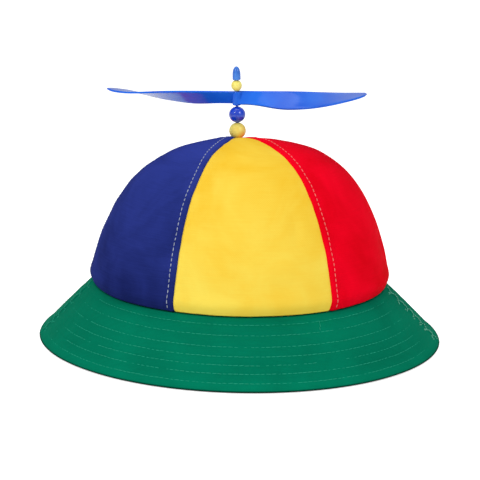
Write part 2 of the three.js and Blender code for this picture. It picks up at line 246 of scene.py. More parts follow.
def add_node(tree, kind, *links, **settings):
    """A node with its settings, and each link as (socket of this node, where it comes from)."""
    node = tree.nodes.new(kind)
    for key, value in settings.items():
        if key in node.bl_rna.properties:
            setattr(node, key, value)
        else:
            node.inputs[key].default_value = value
    for socket, source in links:
        tree.links.new(source, node.inputs[socket])
    return node


def add_math(tree, operation, first, second):
    """A Math node whose inputs are sockets or plain numbers."""
    node = tree.nodes.new("ShaderNodeMath")
    node.operation = operation
    for place, value in enumerate((first, second)):
        if isinstance(value, (int, float)):
            node.inputs[place].default_value = value
        else:
            tree.links.new(value, node.inputs[place])
    return node.outputs[0]


YARNS_PER_METRE = 1500
# How quickly the painted light and shade by height changes up the cloth, per metre.
HEIGHT_SHADE_PER_METRE = 9.0
WEAVE_DEPTH = 0.12
WEAVE_STRENGTH = 0.35
CREASE_STRENGTH = 2.2
SLUB_TINT = 0.35
SLUB_ROUGHNESS = 0.12
CLOTH_ROUGHNESS = 0.82
CLOTH_SHINE = 0.02
SLUB_STRETCH = (60.0, 1400.0, 1.0)
# name, patches in a metre, detail, roughness
CLOUDS = [("Mottle", 26.0, 4.0, 0.55), ("Crease", 75.0, 3.0, 0.5)]

weave, weave_in, weave_out = start_group(
    "woven_cloth",
    [("Vector", "NodeSocketVector"), ("Yarns", "NodeSocketFloat")],
    ["Weave", "Slub", "Mottle", "Crease"],
)
axes = add_node(weave, "ShaderNodeSeparateXYZ", ("Vector", weave_in.outputs["Vector"]))
yarn_turns = add_math(weave, "MULTIPLY", weave_in.outputs["Yarns"], pi)
waves = []
for axis in ("X", "Y"):
    turn = add_math(weave, "MULTIPLY", axes.outputs[axis], yarn_turns)
    waves.append(add_math(weave, "SINE", turn, 0.0))
crossing = add_math(weave, "MULTIPLY", waves[0], waves[1])
weave.links.new(add_math(weave, "MULTIPLY_ADD", crossing, 0.5), weave_out.inputs["Weave"])

cloth_place = weave_in.outputs["Vector"]
slub_map = add_node(weave, "ShaderNodeMapping", ("Vector", cloth_place), Scale=SLUB_STRETCH)
slub = add_node(weave, "ShaderNodeTexNoise", ("Vector", slub_map.outputs[0]), Scale=1.0, Detail=2.0)
weave.links.new(slub.outputs["Fac"], weave_out.inputs["Slub"])
for label, scale, detail, roughness in CLOUDS:
    look = {"Scale": scale, "Detail": detail, "Roughness": roughness, "Distortion": 0.6}
    cloud = add_node(weave, "ShaderNodeTexNoise", ("Vector", cloth_place), **look)
    weave.links.new(cloud.outputs["Fac"], weave_out.inputs[label])
print("woven_cloth has", len(weave.nodes), "nodes")


def add_bump(tree, shader, height, strength, depth):
    """Small relief for a shader, from a height between 0 and 1 and its depth in millimetres."""
    bump = add_node(tree, "ShaderNodeBump", ("Height", height), Strength=strength, Distance=depth * MM)
    tree.links.new(bump.outputs["Normal"], shader.inputs["Normal"])


def add_tones(tree, factor, *steps):
    """A blend of tones: each step is the place where a colour is reached, and that colour."""
    tone = add_node(tree, "ShaderNodeValToRGB", ("Fac", factor))
    places = tone.color_ramp.elements
    for _ in steps[2:]:
        places.new(0.5)
    for place, (position, colour) in zip(places, steps):
        place.position = position
        place.color = colour
    return tone.outputs["Color"]


# %% The dyes
HEM_REACH = 0.01
# share of the reach above the table, and the dye times this: a painted shadow at the bottom, then a
# painted highlight band
HEM_PAINTED_TONES = [(0.1, 0.08), (0.18, 1.0), (0.22, 1.08), (0.45, 1.08), (0.7, 1.0)]


def paint_hem_shadow_and_highlight(tree, colour):
    """Painted shadow along the bottom of the hem, and a painted highlight band on the rolled edge above
    it.
    """
    place = add_node(tree, "ShaderNodeTexCoord")
    axes = add_node(tree, "ShaderNodeSeparateXYZ", ("Vector", place.outputs["Object"]))
    height = add_math(tree, "DIVIDE", axes.outputs["Z"], HEM_REACH)
    tone = add_tones(tree, height, *((at, (left, left, left, 1.0)) for at, left in HEM_PAINTED_TONES))
    hem_painted = add_node(tree, "ShaderNodeVectorMath", operation="MULTIPLY")
    tree.links.new(colour, hem_painted.inputs[0])
    tree.links.new(tone, hem_painted.inputs[1])
    return hem_painted.outputs["Vector"]


def cloth_material(name, deep, bright, height_shade=0.0, mottle=2.2, hem=False):
    """Cotton in one dye, from its deepest to its brightest shade, with light and shade painted on by
    height.
    """
    material, tree, shader = start_material(name)
    grain = add_node(tree, "ShaderNodeUVMap", uv_map="cloth")
    cloth = add_node(tree, "ShaderNodeGroup", node_tree=weave)
    tree.links.new(grain.outputs["UV"], cloth.inputs["Vector"])
    cloth.inputs["Yarns"].default_value = YARNS_PER_METRE
    height = add_node(tree, "ShaderNodeSeparateXYZ", ("Vector", grain.outputs["UV"]))
    # Painted light and shade by height: brighter towards the top when the number is positive, deeper when
    # negative.
    height_shaded = add_math(tree, "MULTIPLY_ADD", height.outputs["Y"], height_shade * HEIGHT_SHADE_PER_METRE)
    height_shaded.node.inputs[2].default_value = 0.4 - 0.5 * height_shade - 0.5 * mottle
    spread = add_math(tree, "MULTIPLY_ADD", cloth.outputs["Mottle"], mottle)
    tree.links.new(height_shaded, spread.node.inputs[2])
    yarn = add_math(tree, "MULTIPLY_ADD", cloth.outputs["Slub"], SLUB_TINT)
    tree.links.new(spread, yarn.node.inputs[2])
    shade = add_node(tree, "ShaderNodeMix", data_type="RGBA", clamp_factor=True)
    ends = [socket for socket in shade.inputs if socket.type == "RGBA"]
    for socket, dye in zip(ends, (deep, bright)):
        socket.default_value = flat_colour(*dye)
    tree.links.new(yarn, shade.inputs["Factor"])
    colour = next(s for s in shade.outputs if s.type == "RGBA")
    # The hem gets a painted shadow beneath it and a painted highlight band above it.
    if hem:
        colour = paint_hem_shadow_and_highlight(tree, colour)
    tree.links.new(colour, shader.inputs["Base Color"])
    relief = add_math(tree, "MULTIPLY_ADD", cloth.outputs["Crease"], CREASE_STRENGTH)
    tree.links.new(cloth.outputs["Weave"], relief.node.inputs[2])
    add_bump(tree, shader, relief, WEAVE_STRENGTH, WEAVE_DEPTH)
    rough = add_math(tree, "MULTIPLY_ADD", cloth.outputs["Slub"], SLUB_ROUGHNESS)
    rough.node.inputs[2].default_value = CLOTH_ROUGHNESS
    tree.links.new(rough, shader.inputs["Roughness"])
    shader.inputs["Specular IOR Level"].default_value = CLOTH_SHINE
    return material


# The number after the colours paints light and shade by height: the red and blue brighter towards the top,
# the yellow deeper and more orange there.
YELLOW_CLOTH = cloth_material("cotton_yellow", (246, 192, 34), (254, 226, 90), height_shade=-0.5, mottle=1.7)
RED_CLOTH = cloth_material("cotton_red", (220, 0, 16), (255, 4, 38), height_shade=0.3)
BLUE_CLOTH = cloth_material("cotton_blue", (24, 34, 94), (48, 62, 150), height_shade=0.8, mottle=1.5)
GREEN_CLOTH = cloth_material("cotton_green", (0, 101, 75), (0, 130, 98), hem=True, mottle=1.0)


# %% The sewing threads
STRANDS_PER_METRE = 900.0
STRAND_SHADE = 0.7
STRAND_DEPTH = 0.05


def thread_material(name, colour):
    """Twisted thread: its strands cross the stitch as fine slanting ridges."""
    material, tree, shader = start_material(name)
    place = add_node(tree, "ShaderNodeTexCoord")
    where = ("Vector", place.outputs["Object"])
    fleck = add_node(tree, "ShaderNodeTexNoise", where, Scale=STRANDS_PER_METRE, Detail=2.0).outputs["Fac"]
    light = flat_colour(*colour)
    dark = tuple(STRAND_SHADE * c for c in light[:3]) + (1.0,)
    tree.links.new(add_tones(tree, fleck, (0.3, dark), (0.7, light)), shader.inputs["Base Color"])
    add_bump(tree, shader, fleck, 0.4, STRAND_DEPTH)
    shader.inputs["Roughness"].default_value = 0.6
    shader.inputs["Specular IOR Level"].default_value = 0.0
    return material


GREEN_THREAD = thread_material("thread_green", (44, 168, 136))
# A paler copy of the green thread, a painted highlight for the right side seam.
GREEN_THREAD_PAINTED_HIGHLIGHT = thread_material("thread_green_painted_highlight", (120, 204, 176))
LILAC_THREAD = thread_material("thread_lilac", (182, 190, 206))
ROSE_THREAD = thread_material("thread_rose", (255, 140, 132))


# %% [markdown]
# ## Plastic and paint as shaders
# The propeller and cap are moulded plastic and the beads are lacquered balls. All are glossy with
# a slightly uneven skin, so a second node group makes that unevenness: a broad waviness of the
# surface and faint smudges that dull the gloss in places.

# %% The node group and the glossy materials
gloss, gloss_in, gloss_out = start_group(
    "uneven_gloss",
    [("Vector", "NodeSocketVector"), ("Scale", "NodeSocketFloat")],
    ["Wave", "Smudge"],
)
for label, factor, detail in (("Wave", 1.0, 1.0), ("Smudge", 3.0, 4.0)):
    size = add_math(gloss, "MULTIPLY", gloss_in.outputs["Scale"], factor)
    where = ("Vector", gloss_in.outputs["Vector"])
    cloud = add_node(gloss, "ShaderNodeTexNoise", where, ("Scale", size), Detail=detail)
    gloss.links.new(cloud.outputs["Fac"], gloss_out.inputs[label])

SMUDGE_ROUGHNESS = 0.12
RIPPLE_DEPTH = 0.3
COAT_ROUGHNESS = 0.02


def glossy_material(name, deep, bright, roughness, scale, coat=0.0, shine=0.5, ripples=0.15):
    """Smooth plastic or lacquer in one colour, from its deepest to its brightest shade."""
    material, tree, shader = start_material(name)
    place = add_node(tree, "ShaderNodeTexCoord")
    skin = add_node(tree, "ShaderNodeGroup", node_tree=gloss)
    tree.links.new(place.outputs["Object"], skin.inputs["Vector"])
    skin.inputs["Scale"].default_value = scale
    steps = ((0.35, flat_colour(*deep)), (0.65, flat_colour(*bright)))
    tree.links.new(add_tones(tree, skin.outputs["Wave"], *steps), shader.inputs["Base Color"])
    dull = add_math(tree, "MULTIPLY_ADD", skin.outputs["Smudge"], SMUDGE_ROUGHNESS)
    dull.node.inputs[2].default_value = roughness
    tree.links.new(dull, shader.inputs["Roughness"])
    add_bump(tree, shader, skin.outputs["Wave"], ripples, RIPPLE_DEPTH)
    shader.inputs["Specular IOR Level"].default_value = shine
    shader.inputs["Coat Weight"].default_value = coat
    shader.inputs["Coat Roughness"].default_value = COAT_ROUGHNESS
    return material


WET_LOOK = {"coat": 0.6, "ripples": 0.03}
PROPELLER_BLUE = glossy_material("plastic_propeller", (24, 96, 224), (36, 112, 236), 0.08, 60, shine=0.22)
CAP_BLUE = glossy_material("plastic_cap", (52, 114, 212), (76, 142, 236), 0.18, 300)
BEAD_YELLOW = glossy_material("lacquer_yellow", (255, 226, 102), (255, 240, 126), 0.4, 260)
BEAD_BLUE = glossy_material("lacquer_blue", (12, 56, 194), (24, 74, 220), 0.0, 260, **WET_LOOK)
BEAD_PALE = glossy_material("lacquer_pale_yellow", (255, 234, 106), (255, 244, 132), 0.3, 300)
PIN_BLUE = glossy_material("plastic_pin", (38, 70, 180), (54, 88, 204), 0.25, 400)

# %% [markdown]
# ## A panel of the crown
# Each panel is one cut of cloth, narrow at the top, sewn to its neighbours along both sides. The
# frame's solid has the panel's true shape on a coarse lattice. Reading that lattice and laying a
# fine grid of faces over it keeps the cloth exactly where the solid is, and the grid's rows and
# columns then say how far each point lies from a seam, which the sewing details need.

# %% Reading the lattice of a solid panel
FOLD_ANGLE = radians(45)
INSIDE_POINT = Vector((0, 0, 60)) * MM


def azimuth_of(place):
    """The direction of a point seen from above, from the front towards +X."""
    return atan2(place.x, -place.y)


def outside_of(solid):
    """Keeps only the faces reached from the outermost one without crossing a sharp edge."""
    seed = max(solid.faces, key=lambda f: (f.calc_center_median() - INSIDE_POINT).length)
    outside, waiting = {seed}, [seed]
    while waiting:
        face = waiting.pop()
        for other in (f for e in face.edges for f in e.link_faces if f not in outside):
            if face.normal.angle(other.normal) < FOLD_ANGLE:
                outside.add(other)
                waiting.append(other)
    rest = [f for f in solid.faces if f not in outside]
    bmesh.ops.delete(solid, geom=rest, context="FACES")


def walk_rim(start, first):
    """The corners along a sheet's open edge, as far as the sheet's next corner."""
    path = [start, first]
    while len(path[-1].link_edges) == 4:
        rim = [e.other_vert(path[-1]) for e in path[-1].link_edges if e.is_boundary]
        path.append(rim[0] if rim[0] != path[-2] else rim[1])
    return path


def next_row(row, seen):
    """The row above: each corner has one new neighbour once the one beside it is known."""
    row = row if len({e.other_vert(row[0]) for e in row[0].link_edges} - seen) == 1 else row[::-1]
    above = []
    for corner in row:
        new = {e.other_vert(corner) for e in corner.link_edges} - seen - set(above)
        if len(new) != 1:
            return None
        above.append(new.pop())
    return above


def read_lattice(node):
    """The outside of a solid panel, as rows from the brim up and columns from seam to seam."""
    solid = bmesh.new()
    solid.from_mesh(frame["nodes"][node].data)
    bmesh.ops.remove_doubles(solid, verts=solid.verts, dist=0.001 * MM)
    solid.normal_update()
    outside_of(solid)
    corner = min((v for v in solid.verts if len(v.link_edges) == 2), key=lambda v: v.co.z)
    paths = [walk_rim(corner, e.other_vert(corner)) for e in corner.link_edges]
    row = min(paths, key=lambda path: path[-1].co.z)
    rows, seen = [], set()
    while row:
        rows.append(row)
        seen.update(row)
        row = next_row(row, seen)
    centre = azimuth_of(sum((v.co for v in solid.verts), Vector()) / len(solid.verts))
    for place, row in enumerate(rows):
        if (row[0].co - rows[0][0].co).length > (row[-1].co - rows[0][0].co).length:
            rows[place] = row[::-1]
    if sin(azimuth_of(rows[0][0].co) - centre) > 0:
        rows = [row[::-1] for row in rows]
    lattice = np.array([[list(v.co) for v in row] for row in rows])
    solid.free()
    print(node, "lattice", lattice.shape[:2])
    return lattice


# %% A smooth surface through the lattice
def spline_weights(share, last):
    """The four lattice places around each share of a side, and how much each one counts."""
    at = np.clip(share, 0, 1) * last
    cell = np.minimum(at.astype(int), last - 1)
    f = at - cell
    weights = np.stack(
        [
            -0.5 * f + f**2 - 0.5 * f**3,
            1 - 2.5 * f**2 + 1.5 * f**3,
            0.5 * f + 2 * f**2 - 1.5 * f**3,
            -0.5 * f**2 + 0.5 * f**3,
        ],
        axis=-1,
    )
    return cell[..., None] + np.arange(4), weights


def padded_lattice(lattice):
    """The lattice with one more row and column all round, carried on in a straight line."""
    below, above = 2 * lattice[:1] - lattice[1:2], 2 * lattice[-1:] - lattice[-2:-1]
    tall = np.concatenate([below, lattice, above])
    left, right = 2 * tall[:, :1] - tall[:, 1:2], 2 * tall[:, -1:] - tall[:, -2:-1]
    return np.concatenate([left, tall, right], axis=1)


def sheet_point(padded, across, up):
    rows, row_weights = spline_weights(up, padded.shape[0] - 3)
    columns, column_weights = spline_weights(across, padded.shape[1] - 3)
    around = padded[rows[..., :, None], columns[..., None, :]]
    return np.einsum("...r,...c,...rcx->...x", row_weights, column_weights, around)


LOOK_STEP = 0.01


def sheet_normal(padded, across, up):
    sideways = sheet_point(padded, across + LOOK_STEP, up) - sheet_point(padded, across - LOOK_STEP, up)
    upwards = sheet_point(padded, across, up + LOOK_STEP) - sheet_point(padded, across, up - LOOK_STEP)
    normal = np.cross(sideways, upwards)
    size = np.linalg.norm(normal, axis=-1, keepdims=True)
    return normal / np.maximum(size, 1e-12)


# %% [markdown]
# ## How sewn cloth lies
# Beside a seam the cloth turns in, which makes the thin dark line between two colours. On the side
# where the seam allowance is folded under and topstitched, a flat raised band follows the seam,
# and the topstitching pulls a shallow groove into it. Thread tension puckers the cloth a little.
# All these are small heights added to the smooth surface, as functions of the distance to a seam.

# %% Relief beside a seam, in millimetres
def hump(distance, width):
    """1 at no distance, fading softly to nothing over about twice the width."""
    return np.exp(-((distance / width) ** 2))


ALLOWANCE_WIDTH = 4.5
TOPSTITCH_INSET = 3.35
TUCK_DEPTH = 0.5
TUCK_WIDTH = 0.8
FOLD_DEPTH = 1.3
FOLD_WIDTH = 0.4
SEAM_REACH = 0.75
ALLOWANCE_HEIGHT = 0.5
ALLOWANCE_STEP = 0.35
GROOVE_DEPTH = 0.32
GROOVE_WIDTH = 0.6
PUCKER_DEPTH = 0.22
PUCKER_PITCH = 5.5
PUCKER_REACH = 6


def wobble(places, scale, seed):
    """Smooth noise between about -1 and 1 at each place, the same on each run."""
    shift = Vector((seed * 7.31, seed * 3.17, seed * 5.53))
    flat = places.reshape(-1, 3)
    values = [noise.noise(Vector(p) * scale + shift) for p in flat]
    return np.array(values).reshape(places.shape[:-1])


def along_noise(distance, scale, seed):
    places = np.stack([distance, np.zeros_like(distance), np.zeros_like(distance)], axis=-1)
    return wobble(places, scale, seed)


def turned_in(away):
    """The cloth's edge, bent round and down into the hat."""
    return -TUCK_DEPTH * hump(away, TUCK_WIDTH) - FOLD_DEPTH * hump(away, FOLD_WIDTH)


def allowance_spread(up):
    """The folded allowance widens near the top, where six seams meet and it can't lie as narrow."""
    return 1 + 0.5 * np.clip((up - 0.7) / 0.25, 0, 1)


def seam_relief(away, along, up, topstitched, seed):
    tuck = turned_in(away)
    pucker = PUCKER_DEPTH * along_noise(along, 1 / PUCKER_PITCH, seed) * np.exp(-away / PUCKER_REACH)
    if not topstitched:
        return tuck + pucker
    spread = allowance_spread(up)
    band = ALLOWANCE_HEIGHT / (1 + np.exp((away - ALLOWANCE_WIDTH * spread) / ALLOWANCE_STEP))
    groove = -GROOVE_DEPTH * hump(away - TOPSTITCH_INSET * spread, GROOVE_WIDTH)
    return tuck + band + groove + 1.6 * pucker


# %% Soft dents that handling has left in the cloth
# panel number, share across, share up, half width, half height (both in mm), depth in mm
DENT_STRENGTH = 1.5
DENTS = [
    (0, 0.19, 0.345, 9.0, 2.4, 0.55),
    (0, 0.12, 0.28, 6.0, 6.0, 0.4),
    (0, 0.66, 0.13, 12.0, 5.0, 0.5),
    (0, 0.30, 0.66, 7.0, 7.0, 0.35),
    (0, 0.62, 0.72, 6.0, 5.0, 0.35),
    (0, 0.80, 0.36, 3.0, 12.0, 0.3),
    (1, 0.09, 0.27, 4.5, 6.0, 0.6),
    (1, 0.10, 0.12, 6.0, 6.0, 0.5),
    (1, 0.45, 0.45, 12.0, 9.0, 0.5),
    (1, 0.70, 0.20, 9.0, 12.0, 0.5),
    (5, 0.90, 0.33, 5.0, 6.0, 0.8),
    (5, 0.84, 0.24, 6.0, 5.0, -0.7),
    (5, 0.84, 0.12, 9.0, 5.0, 0.7),
    (5, 0.55, 0.35, 10.0, 9.0, 0.6),
    (2, 0.40, 0.30, 10.0, 7.0, 0.6),
    (2, 0.65, 0.55, 8.0, 8.0, 0.5),
    (3, 0.25, 0.25, 9.0, 5.0, 0.6),
    (3, 0.70, 0.45, 7.0, 9.0, 0.5),
    (4, 0.35, 0.40, 9.0, 6.0, 0.6),
    (4, 0.68, 0.16, 10.0, 5.0, 0.6),
]


def dent_depth(number, across, up, width, length):
    """How far the dents of one panel press its cloth in, in millimetres."""
    depth = np.zeros_like(across)
    for panel, middle, height, half_width, half_height, press in DENTS:
        if panel == number:
            off = (across - middle) * width / half_width
            rise = (up - height) * length / half_height
            depth += DENT_STRENGTH * press * np.exp(-(off**2) - rise**2)
    return depth


# %% The panels and which of their sides are topstitched
PANELS = [
    ("crown_panel_front", YELLOW_CLOTH, "cloth_yellow", False, False),
    ("crown_panel_front_right", RED_CLOTH, "cloth_red", True, True),
    ("crown_panel_back_right", BLUE_CLOTH, "cloth_blue", False, True),
    ("crown_panel_back", YELLOW_CLOTH, "cloth_yellow", False, False),
    ("crown_panel_back_left", RED_CLOTH, "cloth_red", True, False),
    ("crown_panel_front_left", BLUE_CLOTH, "cloth_blue", True, True),
]
WAVE_DEPTH = 0.45
WAVES_PER_METRE = 26.0
CREASE_DEPTH = 0.24
CREASES_PER_METRE = 75.0
FULL_SLACK_WIDTH = 25
EDGE_WIDTH = 0.5
HEM_DROP = 0.35


def panel_plan(number):
    """What is needed to lay cloth over one solid panel."""
    name, _, _, left, right = PANELS[number]
    padded = padded_lattice(read_lattice(name))
    ups = np.linspace(0, 1, 60)
    widths = []
    for up in ups:
        edge = sheet_point(padded, np.linspace(0, 1, 12), np.full(12, up))
        widths.append(np.linalg.norm(np.diff(edge, axis=0), axis=1).sum() / MM)
    middle = sheet_point(padded, np.full(60, 0.5), ups)
    lengths = np.concatenate([[0], np.cumsum(np.linalg.norm(np.diff(middle, axis=0), axis=1))]) / MM
    return {
        "padded": padded,
        "ups": ups,
        "widths": np.array(widths),
        "lengths": lengths,
        "topstitched": (left, right),
        "number": number,
        "seed": number + 1,
    }


def panel_cloth(plan, across, up):
    """Points on the finished cloth, and the way out of it."""
    base = sheet_point(plan["padded"], across, up)
    outward = sheet_normal(plan["padded"], across, up)
    width = np.interp(up, plan["ups"], plan["widths"])
    along = np.interp(up, plan["ups"], plan["lengths"])
    left, right = plan["topstitched"]
    relief = seam_relief(across * width, along, up, left, plan["seed"] * 2)
    relief += seam_relief((1 - across) * width, along, up, right, plan["seed"] * 2 + 1)
    relief += turned_in(along)
    free = np.clip(4 * across * (1 - across), 0, 1)
    slack = np.clip(width / FULL_SLACK_WIDTH, 0, 1)
    relief += WAVE_DEPTH * free * slack * wobble(base, WAVES_PER_METRE, plan["seed"])
    relief += CREASE_DEPTH * slack * wobble(base, CREASES_PER_METRE, plan["seed"] + 20)
    relief -= dent_depth(plan["number"], across, up, width, plan["lengths"][-1])
    reach = SEAM_REACH * (hump((1 - across) * width, EDGE_WIDTH) - hump(across * width, EDGE_WIDTH))
    sideways = sheet_point(plan["padded"], across + LOOK_STEP, up)
    sideways -= sheet_point(plan["padded"], across - LOOK_STEP, up)
    sideways /= np.maximum(np.linalg.norm(sideways, axis=-1, keepdims=True), 1e-12)
    place = base + outward * (relief * MM)[..., None] + sideways * (reach * MM)[..., None]
    place[..., 2] -= HEM_DROP * MM * hump(along, EDGE_WIDTH)
    return place, outward


plans = [panel_plan(number) for number in range(len(PANELS))]

# %% [markdown]
# A plain grid of faces is added, and each of its corners is moved to its place on the cloth. The
# columns stand closer together near the seams, where the shape changes quickly. The grain of the
# cloth goes into a UV map in metres. Solidify then gives the sheet its thickness, inwards.

# %% Laying the crown's panels
PANEL_COLUMNS = 56
PANEL_ROWS = 120
CLOTH_THICKNESS = 1.2 * MM
SEAM_CROWDING = 0.75


def lay_panel(number):
    name, material, slot, _, _ = PANELS[number]
    plan = plans[number]
    deselect()
    bpy.ops.mesh.primitive_grid_add(x_subdivisions=PANEL_COLUMNS, y_subdivisions=PANEL_ROWS, size=1)
    panel = named(name + "_cloth")
    flat = np.array([v.co for v in panel.data.vertices]) + 0.5
    across = flat[:, 0] - SEAM_CROWDING * np.sin(2 * pi * flat[:, 0]) / (2 * pi)
    up = flat[:, 1] - SEAM_CROWDING * np.sin(2 * pi * flat[:, 1]) / (2 * pi)
    places, _ = panel_cloth(plan, across, up)
    width = np.interp(up, plan["ups"], plan["widths"]) * MM
    along = np.interp(up, plan["ups"], plan["lengths"]) * MM
    grain = np.stack([(across - 0.5) * width, along], axis=-1)
    panel.data.vertices.foreach_set("co", places.ravel())
    panel.data.uv_layers[0].name = "cloth"
    lay_grain(panel.data, panel.data.uv_layers[0], grain)
    panel.data.update()
    finish_with(panel, "SOLIDIFY", thickness=CLOTH_THICKNESS, offset=-1)
    smooth(panel, 50)
    settle(panel, HAT, slot, material, name)
    return panel


for number in range(len(PANELS)):
    lay_panel(number)

# %% [markdown]
# ## Stitches
# A stitch is a short piece of thread that dips into the cloth at both ends. One is modelled as a
# small ball drawn out along the seam, and it is copied along each line of sewing. Only a few
# dozen faces are needed, because there are close to two thousand of them.

# %% One stitch, and lines of them
STITCHED_WIDTH = 13
STITCHED_RANGE = (0.015, 0.97)
STITCH_PITCH = 3.0 * MM
STITCH_LENGTH = 2.3 * MM
STITCH_WIDTH = 0.58 * MM
STITCH_SWAY = 0.16
STITCH_UNEVEN = 0.22
STITCH_DRIFT = 0.12 * MM
STITCH_LIFT = 0.08 * MM

deselect()
bpy.ops.mesh.primitive_uv_sphere_add(segments=8, ring_count=6, radius=0.5)
pattern = named("stitch_pattern")
bpy.ops.object.mode_set(mode="EDIT")
bpy.ops.transform.resize(value=(1, 1, 0.8))
bpy.ops.object.mode_set(mode="OBJECT")
stitch_corners = np.array([v.co for v in pattern.data.vertices])
stitch_faces = [tuple(p.vertices) for p in pattern.data.polygons]
bpy.data.objects.remove(pattern)


def unit(vector):
    return vector / np.linalg.norm(vector)


def sew(name, places, outwards, forwards, material, slot, length=STITCH_LENGTH, width=STITCH_WIDTH):
    """One mesh of stitches. Each lies along its forward, flat on the cloth, and no two are alike."""
    corners, faces = [], []
    step = len(stitch_corners)
    sway = along_noise(np.arange(len(places)) * 1.0, 0.73, 31)
    for place, outward, forward, slant in zip(places, outwards, forwards, sway):
        sideways = unit(np.cross(outward, forward))
        forward = unit(unit(forward) + STITCH_SWAY * slant * sideways)
        turn = np.stack([forward, unit(np.cross(outward, forward)), outward], axis=0)
        size = np.array([length * (1 + STITCH_UNEVEN * slant), width, width])
        faces += [tuple(c + len(corners) * step for c in face) for face in stitch_faces]
        corners.append((stitch_corners * size) @ turn + place + sideways * STITCH_DRIFT * slant)
    mesh = bpy.data.meshes.new(name)
    mesh.from_pydata(np.concatenate(corners).tolist(), [], faces)
    line = add_mesh(name, mesh)
    smooth(line, 80)
    settle(line, HAT, slot, material)


def points_at(wanted, known, points):
    """Points between known ones, at the wanted distances along their line."""
    return np.stack([np.interp(wanted, known, points[:, k]) for k in range(3)], axis=-1)


def topstitch_places(number, side):
    """Where the topstitching of one side of a panel lies: places, ways out and directions."""
    plan = plans[number]
    ups = np.linspace(*STITCHED_RANGE, 400)
    widths = np.interp(ups, plan["ups"], plan["widths"])
    ups, widths = ups[widths > STITCHED_WIDTH], widths[widths > STITCHED_WIDTH]
    inset = TOPSTITCH_INSET * allowance_spread(ups) / widths
    across = inset if side == 0 else 1 - inset
    line, outward = panel_cloth(plan, across, ups)
    run = np.concatenate([[0], np.cumsum(np.linalg.norm(np.diff(line, axis=0), axis=1))])
    count = int(run[-1] / STITCH_PITCH)
    centres = (np.arange(count) + 0.5) * STITCH_PITCH
    place = points_at(centres, run, line)
    out = points_at(centres, run, outward)
    ahead = points_at(centres + 0.5 * MM, run, line)
    return place + out * STITCH_LIFT, out, ahead - place


for number, (name, material, slot, left, right) in enumerate(PANELS):
    thread = ROSE_THREAD if slot == "cloth_red" else LILAC_THREAD
    for side, (word, sewn) in enumerate((("left", left), ("right", right))):
        if sewn:
            sew(f"{name}_topstitch_{word}", *topstitch_places(number, side), thread, slot)

# %% [markdown]
# ## The brim
# The brim is two half rings of doubled cloth, joined at the sides and sewn flat with seven rows of
# stitching. Its section is drawn once as a line of points, closed into a loop and spun about the
# upright axis, which is how a turned form is quickest made. Then every corner is lifted or pressed
# by the stitching: a shallow valley under each row, and the two plies puffing out between rows.

# %% The brim's sizes, read from its solids
brim_low, brim_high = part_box("brim_front")
BRIM_RADIUS = -brim_low.y
BRIM_RISE = brim_high.z
rim = [v.co for n in ("brim_front", "brim_back") for v in frame["nodes"][n].data.vertices]
rim = [c for c in rim if c.z > BRIM_RISE - 0.01 * MM]
SEAM_LEAN = (max(c.x for c in rim) + min(c.x for c in rim)) / 2
SEAM_RADIUS = max(hypot(c.x - SEAM_LEAN, c.y) for c in rim)
BRIM_SLANT = hypot(BRIM_RADIUS - SEAM_RADIUS, BRIM_RISE)
BRIM_WALL = 2.3 * MM
BRIM_ROWS = [0.096, 0.24, 0.394, 0.521, 0.634, 0.744, 0.865]
BRIM_SIDE_SEAM = radians(84)
BRIM_SWELL = 0.5
ROLL_HEIGHT = 0.6
ROLL_SHARE = 0.965
ROLL_WIDTH = 0.035
ROW_DEPTH = 0.3
ROW_VALLEY = 0.9
# height, length round the brim, and number down its slope, of the plies' small puckers and rolls
PLY_PUCKERS = (0.24, 4.2, 16)
PLY_ROLLS = (0.16, 22, 3.2)
HELD_AT_EDGE = 0.12
HELD_AT_SEAM = 0.08
TAUT_SHARE = 0.6
TAUT_MIDDLE = radians(8)
TAUT_WIDTH = radians(16)
SIDE_RIDGE_HEIGHT = 0.9
SIDE_RIDGE_HALF = 1.5
SIDE_PINCH = 1.3
SIDE_GROOVE = 0.35
SIDE_CRUMPLE = 2.2
SIDE_STEP = 0.3
SIDE_REACH = 12
print("brim radius", round(BRIM_RADIUS / MM, 1), "seam radius", round(SEAM_RADIUS / MM, 1))

slope_out = (BRIM_RADIUS - SEAM_RADIUS) / BRIM_SLANT
slope_down = BRIM_RISE / BRIM_SLANT


def brim_place(share, lift):
    """Radius and height at a share of the slope down from the crown, lifted off its face."""
    radius = SEAM_RADIUS + share * (BRIM_RADIUS - SEAM_RADIUS) + lift * slope_down
    return radius, (1 - share) * BRIM_RISE + lift * slope_out


def brim_radius(share):
    """The radius in millimetres, for lengths round the brim."""
    return (SEAM_RADIUS + share * (BRIM_RADIUS - SEAM_RADIUS)) / MM


def brim_bow(share):
    """The outer face swells a little, most of all along the rolled edge."""
    rolled = ROLL_HEIGHT * hump(share - ROLL_SHARE, ROLL_WIDTH)
    return (BRIM_SWELL * np.sin(pi * np.clip(share, 0, 1)) + rolled) * MM


